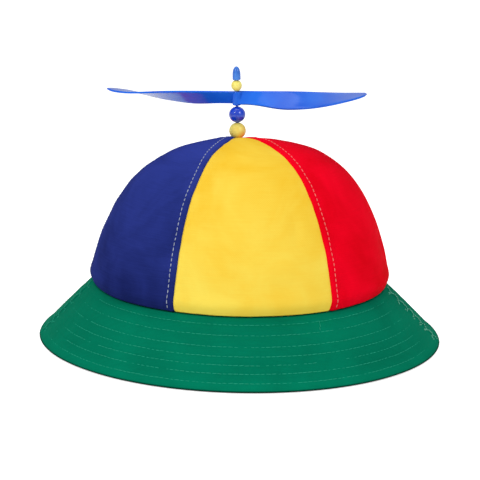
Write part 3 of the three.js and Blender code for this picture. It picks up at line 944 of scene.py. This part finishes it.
# %% The brim's section
OUTER_STEPS = 84
INNER_STEPS = 26
outer_shares = np.linspace(0, 0.985, OUTER_STEPS)
section = [(*brim_place(share, brim_bow(share)), share, 1.0) for share in outer_shares]
edge_round = 0.55 * BRIM_WALL
LOWEST = 0.02 * MM
for turn in np.linspace(radians(30), radians(150), 5):
    radius, height = brim_place(1.0, -edge_round)
    reach = edge_round * sin(turn)
    height = max(LOWEST, edge_round * (1 + cos(turn)))
    section.append((radius + reach - edge_round, height, 1.0, 0.0))
inner_end = 1 - BRIM_WALL / BRIM_SLANT
for share in np.linspace(inner_end, 0.03, INNER_STEPS):
    radius, height = brim_place(share, -BRIM_WALL)
    if height > LOWEST:
        section.append((radius, height, share, -1.0))
ALLOWANCE_IN = 4.5 * MM
ALLOWANCE_UP = 2.2 * MM
for reach, rise in ((1.0, 0.0), (1.0, 1.0), (0.55, 0.55), (0.2, 0.2)):
    radius = SEAM_RADIUS - reach * ALLOWANCE_IN
    height = BRIM_RISE - 0.4 * BRIM_WALL * reach + rise * ALLOWANCE_UP * reach
    section.append((radius, height, 0.0, 0.0))
print("brim section", len(section), "points")


# %% Spinning and stitching the brim
SEAM_HALF_GAP = 0.05 * MM / BRIM_RADIUS


def brim_azimuth(x, y):
    """Azimuths counted on from the left side seam, so that they never jump behind the hat."""
    start = -BRIM_SIDE_SEAM - radians(2)
    return (np.arctan2(x, -y) - start) % (2 * pi) + start


def brim_relief(share, azimuth, side):
    """How far the stitched plies stand out, in millimetres, on the outer or the inner face."""
    relief = np.zeros_like(share)
    for row in BRIM_ROWS:
        gap = (share - row) * BRIM_SLANT / MM
        relief -= ROW_DEPTH * hump(gap, ROW_VALLEY)
    run = azimuth * brim_radius(share)
    waves = 0
    for (rise, length, down), layer, seed in ((PLY_PUCKERS, side, 3), (PLY_ROLLS, 0.5, 5)):
        places = np.stack([run / length, share * down, np.full_like(run, layer)], axis=-1)
        waves = waves + rise * wobble(places, 1.0, seed)
    free = np.clip((1 - share) / HELD_AT_EDGE, 0, 1) * np.clip((share + 0.02) / HELD_AT_SEAM, 0, 1)
    taut = 1 - TAUT_SHARE * hump(np.abs(azimuth % pi - pi / 2) - TAUT_MIDDLE, TAUT_WIDTH)
    return taut * (relief + free * waves)


def brim_seam_relief(run, share):
    """The crumpled ridge along the brim's side seam, pinched by every row that crosses it."""
    away = np.abs(run)
    rows = sum(hump((share - row) * BRIM_SLANT / MM, SIDE_PINCH) for row in BRIM_ROWS)
    crumple = 1 + 0.5 * along_noise(share * BRIM_SLANT / MM, 1 / SIDE_CRUMPLE, 41)
    ridge = SIDE_RIDGE_HEIGHT / (1 + np.exp(np.minimum((away - SIDE_RIDGE_HALF) / SIDE_STEP, 40)))
    return ridge * crumple * (1 - 0.5 * rows) - 0.5 * hump(away, SIDE_GROOVE)


def brim_cloth(share, azimuth, side, base):
    """Moves places on the plain brim to where the stitched cloth lies."""
    radius = brim_radius(share)
    relief = brim_relief(share, azimuth, side)
    for seam in (-BRIM_SIDE_SEAM, BRIM_SIDE_SEAM):
        gap = (azimuth - seam + pi) % (2 * pi) - pi
        near = np.abs(gap * radius) < SIDE_REACH
        relief = relief + near * brim_seam_relief(gap * radius, share)
    quiet = np.clip((1.0 - share) / 0.04, 0, 1)
    lift = relief * quiet * MM * side
    outward = np.stack([np.sin(azimuth) * slope_down, -np.cos(azimuth) * slope_down], axis=-1)
    moved = base.copy()
    moved[..., :2] += outward * lift[..., None]
    moved[..., 2] = np.maximum(moved[..., 2] + slope_out * lift, 0.0)
    return moved


def spin_brim(node, start, end, steps):
    """Half a brim, named after its solid. It stops short of both side seams by half their gap."""
    start, end = start + SEAM_HALF_GAP, end - SEAM_HALF_GAP
    name = node + "_cloth"
    mesh = bpy.data.meshes.new(name)
    points = [(radius * sin(start), -radius * cos(start), height) for radius, height, _, _ in section]
    count = len(points)
    mesh.from_pydata(points, [(k, (k + 1) % count) for k in range(count)], [])
    half = add_mesh(name, mesh)
    choose(half)
    bpy.ops.object.mode_set(mode="EDIT")
    bpy.ops.mesh.select_all(action="SELECT")
    bpy.ops.mesh.spin(steps=steps, angle=end - start, center=(0, 0, 0), axis=(0, 0, -1))
    bpy.ops.mesh.select_all(action="SELECT")
    bpy.ops.mesh.remove_doubles(threshold=0.001 * MM)
    bpy.ops.mesh.select_all(action="DESELECT")
    bpy.ops.object.mode_set(mode="OBJECT")
    place = np.array([v.co for v in mesh.vertices])
    radius = np.hypot(place[:, 0], place[:, 1])
    azimuth = brim_azimuth(place[:, 0], place[:, 1])
    known = np.array(section)
    aside = (radius[:, None] - known[None, :, 0]) ** 2
    above = (place[:, 2][:, None] - known[None, :, 1]) ** 2
    nearest = np.argmin(aside + above, axis=1)
    share, side = known[nearest, 2], known[nearest, 3]
    moved = brim_cloth(share, azimuth, side, place)
    moved[:, 0] += SEAM_LEAN * np.clip(1 - share, 0, 1)
    mesh.vertices.foreach_set("co", moved.ravel())
    cone, turn = radius / slope_out, azimuth * slope_out
    grain = np.stack([cone * np.sin(turn), cone * np.cos(turn)], axis=-1)
    lay_grain(mesh, mesh.uv_layers.new(name="cloth"), grain)
    mesh.update()
    choose(half)
    bpy.ops.object.mode_set(mode="EDIT")
    bpy.ops.mesh.select_all(action="DESELECT")
    bpy.ops.mesh.select_non_manifold()
    bpy.ops.mesh.fill()
    close_edit()
    smooth(half, 50)
    settle(half, HAT, "cloth_green", GREEN_CLOTH, node)


spin_brim("brim_front", -BRIM_SIDE_SEAM, BRIM_SIDE_SEAM, 230)
spin_brim("brim_back", BRIM_SIDE_SEAM, 2 * pi - BRIM_SIDE_SEAM, 260)

# %% The brim's rows of stitching
ROW_PITCH = 3.0 * MM
ROW_STITCH = 3.1 * MM
ROW_WIDTH = 0.42 * MM
ROW_SINK = 0.13 * MM
ROW_FLECK = 0.12 * MM
ROW_STRAY = 0.15 * MM
ROW_BURY = 0.2
SIDE_SINK = 0.25 * MM
SIDE_FADE = (radians(3), radians(22))


def on_brim(shares, turns, lift):
    """Places on the stitched brim, and the way out of it there."""
    radius, height = brim_place(shares, brim_bow(shares) + lift)
    base = np.stack([radius * np.sin(turns), -radius * np.cos(turns), height], axis=-1)
    placed = brim_cloth(shares, turns, np.ones_like(turns), base)
    placed[:, 0] += SEAM_LEAN * (1 - shares)
    out = [np.sin(turns) * slope_down, -np.cos(turns) * slope_down, np.full_like(turns, slope_out)]
    return placed, np.stack(out, axis=-1)


rows = []
for order, row in enumerate(BRIM_ROWS):
    count = int(2 * pi * brim_place(row, 0)[0] / ROW_PITCH)
    turns = (np.arange(count) + 0.5) * 2 * pi / count
    turns = (turns + BRIM_SIDE_SEAM) % (2 * pi) - BRIM_SIDE_SEAM
    sunk = along_noise(turns, 9.0, 50 + order)
    fleck = along_noise(np.arange(count) * 1.0, 0.83, 110 + order)
    from_seam = np.abs(np.abs(turns) - BRIM_SIDE_SEAM)
    near_side = np.clip((from_seam - SIDE_FADE[0]) / SIDE_FADE[1], 0, 1)
    lift = ROW_SINK * (sunk - ROW_BURY) + ROW_FLECK * (fleck - ROW_BURY) - SIDE_SINK * (1 - near_side)
    shares = row + ROW_STRAY / BRIM_SLANT * along_noise(turns, 14.0, 70 + order)
    ahead = np.stack([np.cos(turns), np.sin(turns), np.zeros(count)], axis=-1)
    rows.append((*on_brim(shares, turns, lift), ahead))
all_rows = [np.concatenate(part) for part in zip(*rows)]
sew("brim_stitching", *all_rows, GREEN_THREAD, "cloth_green", length=ROW_STITCH, width=ROW_WIDTH)

# %% [markdown]
# Where a row meets a side seam it was sewn back and forth to lock it, and the seam itself is
# whipped over in green thread, whose copy on the right is painted paler as a painted highlight. Up
# close both are short stitches that cross each other, and from afar they are the pale crumpled line along
# each side of the brim.

# %% The side seams' whipping and the locked ends of the rows
WHIP_PITCH = 1.2 * MM
WHIP_SLANT = 0.9
WHIP_LENGTH = 2.4 * MM
WHIP_WIDTH = 0.6 * MM
WHIP_RANGE = (0.03, 0.93)
WHIP_INSET = 1.0
WHIP_STRAY = 1.1
WHIP_UNEVEN = 1.6
TACK_REACHES = (2.6, 4.4, 6.0)
TACK_STRAY = 0.004
TACK_SLANT = 0.6
LOOSE_THREAD = [(0.11, radians(29.5)), (0.155, radians(29.2)), (0.2, radians(28.5))]


def lay_stitches(shares, turns, slants, lift):
    """Stitches at shares and turns, each slanting from the row's line towards the slope's line."""
    places, outs = on_brim(shares, turns, lift)
    along = np.stack([np.cos(turns), np.sin(turns), np.zeros_like(turns)], axis=-1)
    return places, outs, along + slants[:, None] * np.cross(outs, along)


# The right seam's paler thread is a painted highlight on the same green thread.
WHIPPED = [("left", -BRIM_SIDE_SEAM, GREEN_THREAD), ("right", BRIM_SIDE_SEAM, GREEN_THREAD_PAINTED_HIGHLIGHT)]
for word, seam, thread in WHIPPED:
    count = int(0.9 * BRIM_SLANT / WHIP_PITCH)
    shares = np.linspace(*WHIP_RANGE, count)
    radius = brim_place(shares, 0)[0]
    swing = along_noise(np.arange(count) * 1.0, 0.61, 90)
    turns = [seam - np.sign(seam) * (WHIP_INSET + WHIP_STRAY * swing) * MM / radius]
    slants = [np.where(np.arange(count) % 2, WHIP_SLANT, -WHIP_SLANT) + WHIP_UNEVEN * swing]
    shares = [shares]
    rows = np.arange(len(BRIM_ROWS))
    for reach in TACK_REACHES:
        shares.append(np.array(BRIM_ROWS) + TACK_STRAY * reach * np.sin(rows * 2.4 + reach))
        turns.append(seam - np.sign(seam) * reach * MM / brim_place(shares[-1], 0)[0])
        slants.append(TACK_SLANT * np.sin(rows * 1.7 + reach))
    lines = lay_stitches(*(np.concatenate(part) for part in (shares, turns, slants)), 0.1 * MM)
    name = f"brim_seam_whipping_{word}"
    sew(name, *lines, thread, "cloth_green", length=WHIP_LENGTH, width=WHIP_WIDTH)

loose = np.array(LOOSE_THREAD)
strand = lay_stitches(loose[:, 0], loose[:, 1], np.full(len(loose), 6.0), 0.15 * MM)
sew("brim_loose_thread", *strand, GREEN_THREAD, "cloth_green", length=2.6 * MM, width=0.4 * MM)

# %% [markdown]
# ## The pin and its beads
# The pin leans a little, and everything on it leans with it. Each piece is modelled upright at the
# origin, where its axis is simple, and is then stood on the pin by one matrix. The matrix comes
# from the frame: it points from the lowest bead's middle to the small bead's.

# %% The pin's line, read from the solid beads
def middle_of(node):
    low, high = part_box(node)
    return (low + high) / 2


lower_middle = middle_of("lower_bead")
pin_line = (middle_of("small_bead") - lower_middle).normalized()
pin_turn = pin_line.to_track_quat("Z", "Y").to_matrix().to_4x4()
print("pin leans", round(90 - np.degrees(np.arcsin(pin_line.z)), 2), "degrees")
PIN_RADIUS = 0.8 * MM
BORE_RADIUS = 1.15 * MM


def stand_on_pin(piece, middle):
    piece.data.transform(Matrix.Translation(middle) @ pin_turn)
    piece.data.update()


# %% [markdown]
# A bead is a ball with a hole. A sphere is added, both its poles are cut away, and the two open
# rims are bridged by the hole's wall. A bevel rounds the rims, as lacquer does on real beads.

# %% Drilled beads
def make_bead(name, node, radius, half_length, material, slot):
    deselect()
    bpy.ops.mesh.primitive_uv_sphere_add(segments=48, ring_count=32, radius=radius)
    bead = named(name)
    bpy.ops.object.mode_set(mode="EDIT")
    bpy.ops.transform.resize(value=(1, 1, half_length / sqrt(radius**2 - BORE_RADIUS**2)))
    bpy.ops.mesh.select_all(action="DESELECT")
    cut = bmesh.from_edit_mesh(bead.data)
    for face in cut.faces:
        middle = face.calc_center_median()
        face.select = hypot(middle.x, middle.y) < BORE_RADIUS
    bmesh.update_edit_mesh(bead.data)
    bpy.ops.mesh.delete(type="FACE")
    cut = bmesh.from_edit_mesh(bead.data)
    for edge in cut.edges:
        edge.select = edge.is_boundary
    bmesh.update_edit_mesh(bead.data)
    bpy.ops.mesh.bridge_edge_loops()
    close_edit()
    soften(bead, 0.18, 35)
    stand_on_pin(bead, middle_of(node))
    smooth(bead, 60)
    settle(bead, HAT, slot, material, node)


BEADS = [
    ("lower_bead", 5.05, 4.81, BEAD_YELLOW, "bead_yellow"),
    ("upper_bead", 4.97, 4.71, BEAD_BLUE, "bead_blue"),
    ("small_bead", 3.2, 3.2, BEAD_PALE, "bead_pale_yellow"),
]
for node, radius, half_length, material, slot in BEADS:
    make_bead(node + "_ball", node, radius * MM, half_length * MM, material, slot)

# %% [markdown]
# ## The cap and the pin
# The cap is a small bullet: a straight tube with a soft shoulder and a pointed top, pushed onto the
# pin. A disc is extruded upwards ring by ring, and each ring is scaled to the bullet's outline.
# The pin is a thin rod on a washer, and most of it is hidden. So the washer is a thick disc whose
# top is inset to the rod's width and extruded upwards once.

# %% The cap
CAP_RADIUS = 2.45 * MM
CAP_LENGTH = 8.1 * MM
# share of the length, share of the radius
CAP_RINGS = [(0.0, 0.9), (0.015, 0.98), (0.05, 1.0), (0.42, 0.99), (0.62, 0.92)]
CAP_RINGS += [(0.77, 0.79), (0.88, 0.6), (0.96, 0.36), (1.0, 0.12)]

deselect()
bpy.ops.mesh.primitive_circle_add(vertices=32, radius=CAP_RADIUS * CAP_RINGS[0][1], fill_type="NGON")
cap = named("spindle_cap_bullet")
bpy.ops.object.mode_set(mode="EDIT")
for (from_height, from_width), (height, width) in zip(CAP_RINGS, CAP_RINGS[1:]):
    rise = (height - from_height) * CAP_LENGTH
    bpy.ops.mesh.extrude_region_move(TRANSFORM_OT_translate={"value": (0, 0, rise)})
    grow = width / from_width
    bpy.ops.transform.resize(value=(grow, grow, 1))
close_edit()
finish_with(cap, "SUBSURF", levels=2, render_levels=2)
stand_on_pin(cap, middle_of("spindle_cap") - pin_line * CAP_LENGTH / 2)
smooth(cap, 60)
settle(cap, HAT, "plastic_blue", CAP_BLUE, "spindle_cap")

# %% The pin with its washer
pin_low, pin_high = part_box("spindle")
WASHER_RADIUS = 5.5 * MM
WASHER_HEIGHT = 1.0 * MM
pin_foot = lower_middle + pin_line * ((pin_low.z - lower_middle.z) / pin_line.z + 0.25 * MM)
pin_length = (pin_high.z - pin_foot.z) / pin_line.z - 0.1 * MM

deselect()
bpy.ops.mesh.primitive_circle_add(vertices=32, radius=WASHER_RADIUS, fill_type="NGON")
pin = named("spindle_pin")
bpy.ops.object.mode_set(mode="EDIT")
bpy.ops.mesh.extrude_region_move(TRANSFORM_OT_translate={"value": (0, 0, WASHER_HEIGHT)})
bpy.ops.mesh.inset(thickness=WASHER_RADIUS - PIN_RADIUS)
bpy.ops.mesh.extrude_region_move(TRANSFORM_OT_translate={"value": (0, 0, pin_length - WASHER_HEIGHT)})
close_edit()
soften(pin, 0.2, 40)
stand_on_pin(pin, pin_foot)
smooth(pin, 50)
settle(pin, HAT, "pin", PIN_BLUE, "spindle")

# %% [markdown]
# ## The propeller
# Both blades and the hub are one moulding. At the hub a blade stands on edge, and it twists until
# it lies nearly flat at the tip, so it is built like a ribbon: one edge of a plane is extruded
# outwards again and again, and each new edge is moved to the place that the frame's solid gives.
# Subdivision makes the ribbon smooth, Solidify gives it a wall, and a bevel softens the rim.

# %% Reading the blade's sections from the solid propeller
spin_joint = frame["joints"][0]
hub_middle = Vector(spin_joint["pos_m"])
HUB_RADIUS = 2.6 * MM
HUB_LENGTH = 8.4 * MM
HUB_BORE = 1.5 * MM
BLADE_WALL = 1.1 * MM
BLADE_START = 0.3 * MM

solid_points = [v.co - hub_middle for v in frame["nodes"]["propeller"].data.vertices]
stations = {}
for point in solid_points:
    if point.x > HUB_RADIUS + 0.5 * MM:
        stations.setdefault(round(point.x / MM, 1), []).append(point)
blade_edges = []
for reach in sorted(stations):
    distinct = {tuple(round(c, 6) for c in p) for p in stations[reach]}
    ends = sorted(distinct, key=lambda p: p[1] + p[2])
    if len(ends) >= 8:
        low_edge = (Vector(ends[0]) + Vector(ends[1])) / 2
        high_edge = (Vector(ends[-1]) + Vector(ends[-2])) / 2
        blade_edges.append((low_edge, high_edge))
print("blade stations", len(blade_edges))


# %% One blade
def make_blade(name):
    deselect()
    bpy.ops.mesh.primitive_plane_add(size=MM)
    blade = named(name)
    root_low, root_high = blade_edges[0]
    start = [Vector((BLADE_START, root.y, root.z)) for root in (root_low, root_high)]
    bpy.ops.object.mode_set(mode="EDIT")
    sheet = bmesh.from_edit_mesh(blade.data)
    corners = sorted(sheet.verts, key=lambda v: (round(v.co.x / MM), v.co.y))
    for corner, place in zip(corners, [*start, root_low, root_high]):
        corner.co = place
    bmesh.update_edit_mesh(blade.data)
    bpy.ops.mesh.select_mode(type="EDGE")
    bpy.ops.mesh.select_all(action="DESELECT")
    sheet = bmesh.from_edit_mesh(blade.data)
    outer = max(sheet.edges, key=lambda e: e.verts[0].co.x + e.verts[1].co.x)
    outer.select_set(True)
    bmesh.update_edit_mesh(blade.data)
    for low_edge, high_edge in blade_edges[1:]:
        bpy.ops.mesh.extrude_edges_move()
        sheet = bmesh.from_edit_mesh(blade.data)
        new = sorted((v for v in sheet.verts if v.select), key=lambda v: v.co.y + v.co.z)
        new[0].co, new[1].co = low_edge, high_edge
        bmesh.update_edit_mesh(blade.data)
    bpy.ops.mesh.select_mode(type="VERT")
    close_edit()
    return blade


blade = make_blade("blade_right")
finish_with(blade, "SUBSURF", levels=3, render_levels=3, boundary_smooth="PRESERVE_CORNERS")
finish_with(blade, "SOLIDIFY", thickness=BLADE_WALL, offset=0, use_even_offset=True)
soften(blade, 0.3, 40)

# %% The hub, and both blades joined to it
deselect()
bpy.ops.mesh.primitive_cylinder_add(vertices=48, radius=HUB_RADIUS, depth=HUB_LENGTH)
propeller = named("propeller_moulding")
soften(propeller, 0.8, 60, segments=5)

second = add_mesh("blade_left", blade.data.copy())
second.data.transform(Matrix.Rotation(pi, 4, "Z"))
deselect()
bpy.ops.mesh.primitive_cylinder_add(vertices=32, radius=HUB_BORE, depth=3 * HUB_LENGTH)
drill = named("hub_drill")
for tool, how in ((blade, "UNION"), (second, "UNION"), (drill, "DIFFERENCE")):
    finish_with(propeller, "BOOLEAN", object=tool, operation=how, solver="EXACT")
    bpy.data.objects.remove(tool)
propeller.data.transform(Matrix.Translation(hub_middle))
smooth(propeller, 35)
settle(propeller, SPINNER, "plastic_blue", PROPELLER_BLUE, "propeller")
